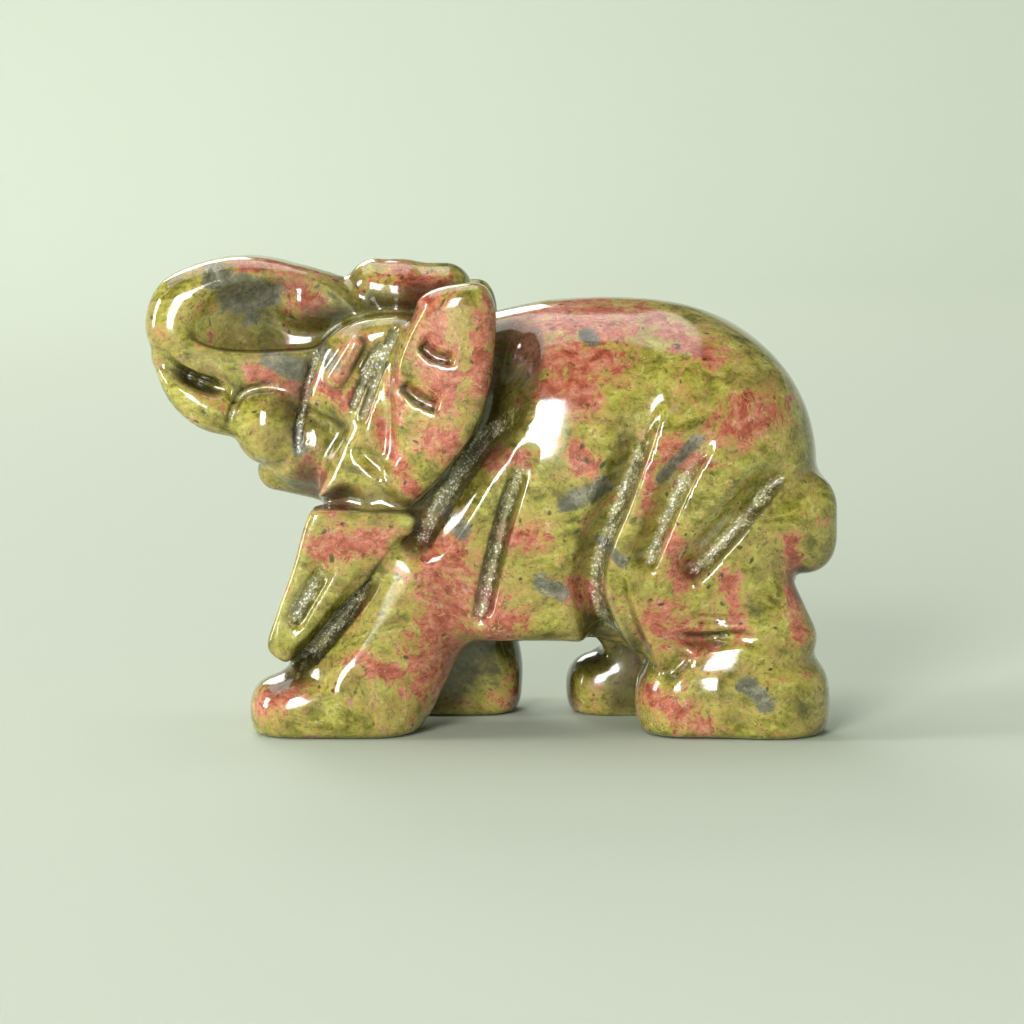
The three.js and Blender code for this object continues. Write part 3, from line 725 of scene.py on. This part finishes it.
@dataclass(frozen=True)
class Minerals:
    """Where the salmon feldspar and the grey quartz lie in the green stone."""

    salmon: tuple[Smear, ...] = smears(
        (-18, 34, -13.5, 33.6, 0.6), (-14.5, 32.5, -13.2, 31, 1), (-6.5, 34, -5, 32, 1.2),
        (-17, 26, -13.5, 24.5, 0.6), (-10.9, 25.8, -9.5, 28.2, 0.6), (-12, 25.5, -10.4, 24, 0.5),
        (-4.4, 31, -3.4, 25, 1.3), (-0.4, 30, -0.6, 25, 0.8), (-4, 22, -3, 21.5, 1),
        (-6.6, 26, -6.6, 23, 0.5), (-8, 23, -5.8, 18.5, 0.5), (-13, 19, -11, 16.8, 0.7),
        (-12, 13.8, -8, 14.4, 0.9), (-3.6, 13, -3, 9.5, 1.8), (-3, 8, -3.6, 4, 1.7),
        (-16, 2.4, -14, 3.4, 0.8), (-9.5, 5.7, -7, 5, 0.6), (0, 10, 0.4, 4, 0.9),
        (1.6, 14.6, 3.6, 14.6, 0.7), (1, 8.6, 2.4, 8.8, 0.6), (5.6, 10.8, 7, 10, 0.7),
        (0, 20.4, 2.4, 20.2, 0.5), (2.6, 29.6, 9, 29.6, 1.3), (3, 27.6, 8.4, 27.2, 1.2),
        (4.2, 24.8, 6.6, 24.8, 1.1), (6, 20.8, 7, 19.4, 0.6), (17, 22.2, 19.4, 23.4, 1.2),
        (10.6, 30.5, 16, 27, 0.6), (12.6, 21, 14.2, 20.4, 0.8), (11.4, 20, 11, 16.8, 0.4),
        (13.1, 13.8, 13.6, 12, 0.9), (12.2, 8.6, 14.6, 7, 1.2), (16.8, 12, 17.6, 8.4, 0.5),
        (11.4, 3.2, 15, 1, 0.8), (7, 3.5, 9, 2.4, 1.2), (21.4, 14.4, 22, 7, 0.5),
    )
    quartz: tuple[Smear, ...] = smears(
        (-19.6, 32.6, -16, 31.4, 1), (-18.6, 31.4, -17, 30, 1), (-16, 27, -13.8, 26.2, 0.7),
        (-12, 27.8, -11.3, 27, 0.6), (-13.9, 21.8, -13.7, 20.4, 0.5), (-2.8, 16, -2, 15.2, 0.6),
        (5.4, 17.2, 8.2, 18.4, 0.6), (12, 18.9, 14.6, 21.6, 0.4), (6.8, 28.8, 7.4, 28.6, 0.4),
        (7.8, 14.3, 9.4, 13, 0.4), (18.2, 4.2, 19.6, 2.8, 0.6), (3.6, 11.4, 5, 10.6, 0.6),
    )
    seed: int = 11

    @staticmethod
    def chance(count: int, seed: int) -> tuple[Smear, ...]:
        """So many streaks laid at random over the side that the picture doesn't show."""
        rng = np.random.default_rng(seed)
        rows = []
        for _ in range(count):
            x, z = rng.uniform(-23, 24), rng.uniform(0, 34)
            turn, run = rng.uniform(-0.6, 1.4), rng.uniform(0, 3)
            radius = rng.uniform(0.4, 1.2)
            rows.append((x, z, x + run * math.cos(turn), z + run * math.sin(turn), radius))
        return smears(*rows)

    @staticmethod
    def spread(streaks: tuple[Smear, ...], x: Array, z: Array) -> Array:
        """How much of the mineral all the streaks give each place."""
        return np.maximum.reduce([streak.strength(x, z) for streak in streaks])

    def lay(self, known: tuple[Smear, ...], seed: int, points: Array) -> Array:
        """How much of one mineral each point holds: as seen on the left, by chance on the right."""
        x, y, z = points.T
        left = ease(-1, 3, -y)
        seen = self.spread(known, x, z)
        hidden = self.spread(self.chance(len(known), seed), x, z)
        return seen * left + hidden * (1 - left)


@dataclass(frozen=True)
class Clouds:
    """Cloudy noise: about how many clouds to a millimetre, its layers, and how strong the finer ones are."""

    scale: float
    detail: float
    roughness: float = 0.5


@dataclass(frozen=True)
class Show:
    """Where a colour shows: from a level up, over a soft step to either side, and how much of it."""

    level: float
    soft: float
    share: float = 1.0

    def of(self, wire: Wire) -> Wire:
        """Share of the colour where a wire is above the level."""
        return wire.above(self.level, self.soft) * self.share

    def below(self, wire: Wire) -> Wire:
        """Share of the colour where a wire is under the level."""
        return (1 - wire.above(self.level, self.soft)) * self.share


class Wire:
    """A number on its way through a material."""

    def __init__(self, board: Board, socket: bpy.types.NodeSocket) -> None:
        """Holds a node's output socket.

        Args:
            board: The material that the node is in.
            socket: The output that gives the number.
        """
        self.board = board
        self.socket = socket

    def sum(self, operation: str, *values: Wire | float) -> Wire:
        """Result of a Math node on some values."""
        return self.board.node("ShaderNodeMath", {"operation": operation}, dict(enumerate(values)))

    def __add__(self, other: Wire | float) -> Wire:
        """Adds."""
        return self.sum("ADD", self, other)

    def __sub__(self, other: Wire | float) -> Wire:
        """Subtracts."""
        return self.sum("SUBTRACT", self, other)

    def __rsub__(self, other: float) -> Wire:
        """Subtracts this from a number."""
        return self.sum("SUBTRACT", other, self)

    def __mul__(self, other: Wire | float) -> Wire:
        """Multiplies."""
        return self.sum("MULTIPLY", self, other)

    def __abs__(self) -> Wire:
        """Drops the sign."""
        return self.sum("ABSOLUTE", self)

    __radd__ = __add__
    __rmul__ = __mul__

    def above(self, level: float, soft: float) -> Wire:
        """0 below level, 1 above it, with a soft step between."""
        inputs = {"Value": self, "From Min": level - soft, "From Max": level + soft}
        return self.board.node("ShaderNodeMapRange", {"interpolation_type": "SMOOTHSTEP"}, inputs)


class Board:
    """The node tree of one material."""

    def __init__(self, name: str) -> None:
        """Starts a material with nothing but its shader.

        Args:
            name: The material's name.
        """
        self.material = bpy.data.materials.new(name)
        self.material.use_nodes = True
        self.tree = self.material.node_tree
        self.shader = self.tree.nodes["Principled BSDF"]

    def node(self, kind: str, settings: dict[str, object], inputs: dict[str | int, object],
             output: str | int = 0) -> Wire:
        """Adds a node.

        Args:
            kind: The node's type.
            settings: Attributes of the node, set before its sockets.
            inputs: Values or wires by the socket's name or number.
            output: The socket that the wire comes from.

        Returns:
            The wire from that socket.
        """
        node = self.tree.nodes.new(kind)
        for name, value in settings.items():
            setattr(node, name, value)
        for name, value in inputs.items():
            self.set(node, name, value)
        return Wire(self, node.outputs[output])

    def set(self, node: bpy.types.Node, name: str | int, value: object) -> None:
        """Gives a node's socket a wire or a plain value."""
        if isinstance(value, Wire):
            self.tree.links.new(value.socket, node.inputs[name])
        else:
            node.inputs[name].default_value = value

    def finish(self, **values: object) -> None:
        """Gives the shader its wires and plain values, by socket name with _ for a space."""
        for name, value in values.items():
            self.set(self.shader, name.replace("_", " "), value)

    def attribute(self, name: str) -> Wire:
        """The number that each of the piece's points carries under that name."""
        return self.node("ShaderNodeAttribute", {"attribute_name": name}, {}, "Fac")

    def moved(self, vector: Wire, by: Wire) -> Wire:
        """A vector moved by another."""
        return self.node("ShaderNodeVectorMath", {"operation": "ADD"}, {0: vector, 1: by})

    def noise(self, at: Wire, clouds: Clouds, output: str = "Factor") -> Wire:
        """Cloudy noise at a place, about 0.5."""
        inputs = {"Vector": at, "Scale": clouds.scale, "Detail": clouds.detail, "Roughness": clouds.roughness}
        return self.node("ShaderNodeTexNoise", {}, inputs, ("Factor", "Color").index(output))

    def cells(self, at: Wire, scale: float) -> Wire:
        """How far a place is from the nearest of many scattered grains."""
        return self.node("ShaderNodeTexVoronoi", {}, {"Vector": at, "Scale": scale}, "Distance")

    def swirl(self, at: Wire, scale: float, reach: float) -> Wire:
        """The place moved about by cloudy noise, up to about reach."""
        cloud = self.noise(at, Clouds(scale, 2), "Color")
        centred = self.node("ShaderNodeVectorMath", {"operation": "SUBTRACT"}, {0: cloud, 1: (0.5, 0.5, 0.5)})
        by = self.node("ShaderNodeVectorMath", {"operation": "SCALE"}, {0: centred, "Scale": 2 * reach})
        return self.moved(at, by)

    def mix(self, share: Wire | float, a: Wire | Colour, b: Wire | Colour, way: str = "MIX") -> Wire:
        """Colour a with a share of colour b."""
        return self.node("ShaderNodeMix", {"data_type": "RGBA", "blend_type": way}, {0: share, 6: a, 7: b}, 2)

    def ramp(self, share: Wire, stops: tuple[tuple[float, Colour], ...]) -> Wire:
        """Colour that runs through the stops as share rises."""
        wire = self.node("ShaderNodeValToRGB", {}, {0: share})
        elements = wire.socket.node.color_ramp.elements
        while len(elements) < len(stops):
            elements.new(0.5)
        for element, (position, colour) in zip(elements, stops):
            element.position = position
            element.color = colour
        return wire


def smooth_mesh(name: str, places: list, faces: list) -> bpy.types.Mesh:
    """Smoothly shaded mesh from places in metres and faces of their numbers."""
    mesh = bpy.data.meshes.new(name)
    mesh.from_pydata(places, [], faces)
    mesh.polygons.foreach_set("use_smooth", np.ones(len(mesh.polygons), bool))
    return mesh


def put(name: str, data: bpy.types.ID) -> bpy.types.Object:
    """Puts a mesh, light or camera into the scene."""
    thing = bpy.data.objects.new(name, data)
    bpy.context.scene.collection.objects.link(thing)
    return thing


def paint(code: str) -> Colour:
    """Linear colour from a six-digit web colour."""
    parts = [int(code[i:i + 2], 16) / 255 for i in (0, 2, 4)]
    return (*(p / 12.92 if p <= 0.04045 else ((p + 0.055) / 1.055) ** 2.4 for p in parts), 1.0)


@dataclass(frozen=True)
class Unakite:
    """Polished unakite: mottled green epidote, salmon feldspar, grey quartz, dark specks and fine veins."""

    green: tuple[tuple[float, Colour], ...] = (
        (0.3, paint("35330e")), (0.41, paint("5f5b18")), (0.48, paint("87812e")),
        (0.55, paint("a5a045")), (0.63, paint("bab45f")), (0.74, paint("cac685")),
    )
    salmon: tuple[tuple[float, Colour], ...] = (
        (0.3, paint("74281c")), (0.42, paint("9c4234")), (0.52, paint("b96252")), (0.62, paint("c8836e")),
        (0.74, paint("cca588")),
    )
    quartz: tuple[tuple[float, Colour], ...] = (
        (0.35, paint("44443e")), (0.5, paint("67665b")), (0.65, paint("8c887a")),
    )
    speck: Colour = paint("2f3118")
    crack: Colour = paint("38361c")
    # Pale colour of the veins, also painted along ridges as highlight.
    vein: Colour = paint("cfc68f")
    tan: Colour = paint("b98a55")
    ochre: Colour = paint("b39a5c")
    # Colour of the painted shade in hollows and deep recesses.
    hollow: Colour = paint("2a2410")
    residue: Colour = paint("a09f90")
    powder_and_glint: Colour = paint("f4f3ee")
    light: tuple[tuple[float, Colour], ...] = (
        (0.3, (0.7, 0.7, 0.66, 1)), (0.5, (1, 1, 1, 1)), (0.7, (1.25, 1.25, 1.2, 1)),
    )
    folds: Spot = (0.16, 2.0)
    curls: Spot = (0.8, 0.45)
    bends: Spot = (0.3, 2.0)
    lean: Place = (0.2, -0.75, 0.1)
    stretch: Place = (0.6, 1, 1.2)
    body: Clouds = Clouds(0.85, 7, 0.7)
    cloud: Clouds = Clouds(0.42, 5, 0.62)
    warmth: Clouds = Clouds(0.33, 4, 0.65)
    flush: Clouds = Clouds(1.1, 6, 0.68)
    smoke: Clouds = Clouds(1.1, 5, 0.62)
    edge: Clouds = Clouds(1.1, 7, 0.72)
    fine: Clouds = Clouds(3.4, 4, 0.7)
    lines: Clouds = Clouds(0.3, 4, 0.55)
    dents: Clouds = Clouds(0.5, 1)
    body_share: float = 0.62
    salmon_pull: float = 0.68
    salmon_ragged: float = 2.3
    quartz_pull: float = 0.8
    quartz_ragged: float = 1.6
    speck_scale: float = 0.9
    grit_scale: float = 4.6
    shows: dict[str, Show] = field(default_factory=lambda: {
        "ochre": Show(0.53, 0.1, 0.45),
        "stray": Show(0.6, 0.08, 0.4),
        "quartz": Show(0.5, 0.1),
        "loose quartz": Show(0.645, 0.02, 0.7),
        "tan": Show(0.26, 0.24, 0.7),
        "salmon": Show(0.5, 0.13, 0.92),
        "speck": Show(0.15, 0.06, 0.85),
        "specked": Show(0.48, 0.08),
        "dust": Show(0.385, 0.05, 0.4),
        "crack": Show(0.004, 0.004, 0.6),
        "cracked": Show(0.47, 0.06),
        "vein": Show(0.006, 0.006, 0.45),
        "veined": Show(0.5, 0.05),
        "ground": Show(0.5, 0.3),
        # Levels of the painted shade in deep recesses and narrow hollows, and of the painted highlight on
        # ridges.
        "shade": Show(0.5, 0.42, 0.75),
        "hollow": Show(0.5, 0.45, 0.66),
        "ridge": Show(0.62, 0.4, 0.25),
        "grit": Show(0.36, 0.08, 0.95),
        "gritty": Show(0.46, 0.05),
        "duller": Show(0.5, 0.2, 0.06),
    })
    crack_line: float = 0.53
    vein_line: float = 0.44
    quartz_share: float = 0.9
    light_share: float = 0.8
    residue_share: float = 0.32
    floor_shade_loss: float = 0.85
    ground_ragged: Spot = (0.8, 1.6)
    dent_height: float = 0.12
    grit_height: float = 0.16
    bump_depth: float = 0.5
    bump_strength: float = 0.35
    polish: float = 0.1
    matte: float = 0.42
    bending: float = 1.6
    coat: float = 0.3
    coat_roughness: float = 0.04

    def make(self) -> bpy.types.Material:
        """Builds the material, with shade painted into hollows and highlights painted on ridges.

        Returns:
            The material, which reads Object coordinates and the attributes that Elephant.build lays.
        """
        board, shows = Board("unakite"), self.shows
        place = board.node("ShaderNodeTexCoord", {}, {}, "Object")
        at = board.node("ShaderNodeVectorMath", {"operation": "SCALE"}, {0: place, "Scale": 1 / MM})
        swirled = board.swirl(board.swirl(at, *self.folds), *self.curls)
        laid = {"Vector": swirled, "Rotation": self.lean, "Scale": self.stretch}
        streaked = board.node("ShaderNodeMapping", {}, laid)
        body, cloud = board.noise(streaked, self.body), board.noise(swirled, self.cloud)
        edge, fine = board.noise(swirled, self.edge), board.noise(at, self.fine)

        colour = board.ramp(body * self.body_share + cloud * (1 - self.body_share), self.green)
        colour = board.mix(shows["ochre"].of(board.noise(swirled, self.warmth)), colour, self.ochre)
        blush = board.attribute("salmon") * self.salmon_pull + shows["stray"].of(cloud)
        blush = blush + (edge - 0.5) * self.salmon_ragged
        colour = board.mix(shows["tan"].of(blush), colour, self.tan)
        salmon = board.ramp(board.noise(streaked, self.flush), self.salmon)
        colour = board.mix(shows["salmon"].of(blush), colour, salmon)
        grey = board.attribute("quartz") * self.quartz_pull + (body - 0.5) * self.quartz_ragged
        either = grey.sum("MAXIMUM", shows["quartz"].of(grey), shows["loose quartz"].of(edge))
        quartz = board.ramp(board.noise(swirled, self.smoke), self.quartz)
        colour = board.mix(either * self.quartz_share, colour, quartz)

        cell = board.cells(swirled, self.speck_scale)
        colour = board.mix(shows["speck"].below(cell) * shows["specked"].of(cloud), colour, self.speck)
        colour = board.mix(shows["dust"].below(fine), colour, self.speck)
        lines = board.noise(board.swirl(at, *self.bends), self.lines)
        crack = shows["crack"].below(abs(lines - self.crack_line)) * shows["cracked"].of(edge)
        colour = board.mix(crack, colour, self.crack)
        vein = shows["vein"].below(abs(lines - self.vein_line)) * shows["veined"].of(body)
        colour = board.mix(vein, colour, self.vein)
        colour = board.mix(self.light_share, colour, board.ramp(fine, self.light), "MULTIPLY")

        by_fine, by_body = self.ground_ragged
        ground = board.attribute("grind") + (fine - 0.5) * by_fine + (body - 0.5) * by_body
        ground = shows["ground"].of(ground)
        # Painted shade: the stone darkens in narrow hollows and deep recesses, by the hollow and shade
        # attributes, less on matte floors.
        shade_kept = 1 - ground * self.floor_shade_loss
        for name in ("shade", "hollow"):
            colour = board.mix(shows[name].of(board.attribute(name)) * shade_kept, colour, self.hollow)
        # Painted highlight: ridges and crisp edges turn paler, partly as edge wear.
        colour = board.mix(shows["ridge"].of(board.attribute("ridge")), colour, self.vein)
        grit = board.cells(at, self.grit_scale)
        colour = board.mix(ground * self.residue_share, colour, self.residue)
        # White grains of polishing powder on matte floors, partly painted glints of their rough facets.
        glitter = ground * shows["grit"].below(grit) * shows["gritty"].of(body)
        colour = board.mix(glitter, colour, self.powder_and_glint)
        polish = shows["duller"].of(cloud) + self.polish
        roughness = board.node("ShaderNodeMix", {}, {0: ground, 2: polish, 3: self.matte}, 0)
        relief = board.noise(at, self.dents) * self.dent_height + ground * grit * self.grit_height
        dents = {"Height": relief, "Distance": self.bump_depth * MM, "Strength": self.bump_strength}
        bump = board.node("ShaderNodeBump", {}, dents)
        board.finish(Base_Color=colour, Roughness=roughness, Normal=bump, IOR=self.bending,
                     Coat_Weight=self.coat, Coat_Roughness=self.coat_roughness)
        return board.material


@dataclass
class Elephant:
    """The carved stone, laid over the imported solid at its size."""

    node: str = "elephant"
    stone: str = "unakite"
    drawn_length: float = 49.8
    head_facet: float = 0.26
    body_facet: float = 0.32
    # Reaches over which hollows and ridges, and deep recesses, are found for painted shade and highlight.
    near: float = 1.2
    far: float = 4.5
    figure: Figure = Figure()
    minerals: Minerals = Minerals()

    def unit(self) -> float:
        """One drawing unit in metres, from the solid's length."""
        low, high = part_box(self.node)
        return (high[0] - low[0]) / self.drawn_length

    @staticmethod
    def ticks(*stretches: tuple[float, float, float]) -> Array:
        """Grid lines over stretches of start, end and step."""
        parts = [np.linspace(a, b, math.ceil((b - a) / step), endpoint=False) for a, b, step in stretches]
        return np.append(np.concatenate(parts), stretches[-1][1])

    def carve(self) -> Skin:
        """Lays the fine skin over the figure."""
        coarse = 1.0
        head, body = self.head_facet * coarse, self.body_facet * coarse
        xs = self.ticks((-26, -2, head), (-2, 26, body))
        ys = self.ticks((-11.5, 11.5, head))
        zs = self.ticks((-1, 15, body), (15, 35.5, head))
        skin = Skin(self.figure, (xs, ys, zs))
        skin.settle(1, head / 2)
        skin.relax(0.5)
        skin.settle(2, head / 2)
        return skin

    def build(self) -> bpy.types.Object:
        """Makes the elephant's mesh with the attributes that its stone reads.

        Returns:
            The piece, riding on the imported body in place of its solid.
        """
        skin = self.carve()
        mesh = smooth_mesh("carved_elephant", (skin.points * self.unit()).tolist(), skin.quads.tolist())
        x, y, z = skin.points.T
        laid = {
            "salmon": self.minerals.lay(self.minerals.salmon, self.minerals.seed, skin.points),
            "quartz": self.minerals.lay(self.minerals.quartz, self.minerals.seed + 1, skin.points),
            "grind": self.figure.grind(x, y, z),
        }
        # Hollow and shade carry the shade painted into the stone; ridge carries its painted highlight.
        laid["hollow"], laid["ridge"] = skin.relief(self.near)
        laid["shade"] = skin.relief(self.far)[0]
        for name, values in laid.items():
            mesh.attributes.new(name, "FLOAT", "POINT").data.foreach_set("value", values.astype(np.float32))
        mesh.validate()
        piece = put("carved_elephant", mesh)
        log.info("%s: %d quads", piece.name, len(mesh.polygons))
        return piece

    def dress(self, piece: bpy.types.Object) -> None:
        """Gives the piece its stone, and puts it in the frame."""
        piece.data.materials.append(Unakite().make())
        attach(piece, "root")
        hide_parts(self.node)


@dataclass
class Studio:
    """Plain pale floor that sweeps up all round, soft lights, and the camera at the picture's angle."""

    hub: float = 0.1
    flat: float = 0.55
    rise: float = 0.35
    elevation: float = math.radians(6.5)
    distance: float = 0.3
    target: Place = (1.57, 0, 15.4)
    lens: float = 144.5
    sensor: float = 36.0
    nearest: float = 0.01
    ground: Colour = paint("c3ccbd")
    ground_roughness: float = 0.85
    air: Colour = paint("c8d2c6")
    air_strength: float = 0.27
    middle: Place = (0, 0, 0.018)
    bar: float = 1.1
    warmth: Place = (1, 0.99, 0.96)

    def window(self, name: str, place: Place, pane: Spot, power: float) -> None:
        """Soft light like a tall window of two by two panes, aimed at the carving.

        Args:
            name: The light's name.
            place: The window's middle, in metres.
            pane: Width and height of a pane, in metres.
            power: Strength of a pane, in watts.
        """
        away = Vector(self.middle) - Vector(place)
        turned = away.to_track_quat("-Z", "Y")
        for i in (-0.5, 0.5):
            for j in (-0.5, 0.5):
                shift = turned @ Vector((self.bar * pane[0] * i, self.bar * pane[1] * j, 0))
                self.light(name, Vector(place) + shift, away, pane, power)

    def floor(self) -> bpy.types.Object:
        """Round floor with a high soft rim."""
        turns, steps = 96, 24
        profile = [(self.hub, 0.0), (self.flat, 0.0)]
        profile += [(self.flat + self.rise * math.sin(a), self.rise * (1 - math.cos(a)))
                    for a in np.linspace(0, math.pi / 2, steps)[1:]]
        places = [(r * math.cos(t), r * math.sin(t), h)
                   for r, h in profile for t in np.linspace(0, 2 * math.pi, turns, endpoint=False)]
        faces = []
        for i in range(0, (len(profile) - 1) * turns, turns):
            for j in range(turns):
                k = (j + 1) % turns
                faces.append([i + j, i + k, i + turns + k, i + turns + j])
        faces.append(list(range(turns))[::-1])
        mesh = smooth_mesh("floor", places, [face[::-1] for face in faces])
        board = Board("pale_floor")
        board.finish(Base_Color=self.ground, Roughness=self.ground_roughness)
        mesh.materials.append(board.material)
        floor = put("floor", mesh)
        return floor

    def light(self, name: str, place: Vector, towards: Vector, size: Spot, power: float,
              shine: float = 1) -> None:
        """Adds a soft light.

        Args:
            name: The light's name.
            place: Where it hangs, in metres.
            towards: The way it shines.
            size: Its width and height, in metres.
            power: Its strength, in watts.
            shine: Share of it that glossy stone mirrors.
        """
        lamp = bpy.data.lights.new(name, "AREA")
        lamp.shape = "RECTANGLE"
        lamp.size, lamp.size_y = size
        lamp.energy = power
        lamp.color = self.warmth
        lamp.specular_factor = shine
        thing = put(name, lamp)
        thing.location = place
        thing.rotation_euler = towards.to_track_quat("-Z", "Y").to_euler()

    def build(self) -> None:
        """Sets the floor, the lights and the camera."""
        self.floor()
        self.window("key", (-0.232, -0.672, 0.23), (0.09, 0.19), 1.3)
        self.window("side", (-0.672, -0.1, 0.2), (0.08, 0.16), 0.7)
        self.light("sky", Vector((-0.25, 0.35, 0.85)), Vector((0, 0.1, -1)), (0.9, 0.9), 4.9, 0.4)
        self.light("back", Vector((-0.2, 0.66, 0.42)), Vector((0.2, -0.66, -0.4)), (0.3, 0.3), 1.5, 0.6)
        scene = bpy.context.scene
        scene.view_settings.view_transform = "Standard"
        world = bpy.data.worlds.new("studio")
        world.use_nodes = True
        background = world.node_tree.nodes["Background"]
        background.inputs["Color"].default_value = self.air
        background.inputs["Strength"].default_value = self.air_strength
        scene.world = world
        lens = bpy.data.cameras.new("camera")
        lens.lens = self.lens
        lens.sensor_width = self.sensor
        lens.clip_start = self.nearest
        camera = put("camera", lens)
        x, y, z = (MM * value for value in self.target)
        away = self.distance
        camera.location = (x, y - away * math.cos(self.elevation), z + away * math.sin(self.elevation))
        camera.rotation_euler = (math.pi / 2 - self.elevation, 0, 0)
        scene.camera = camera


def main() -> None:
    """Builds the elephant and the studio round it, and notes the studio and the elephant's quads."""
    logging.basicConfig(level=logging.INFO, format="%(name)s: %(message)s")
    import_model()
    Studio().build()
    log.info("studio: floor, lights and camera")
    elephant = Elephant()
    elephant.dress(elephant.build())


if __name__ == "__main__":
    main()
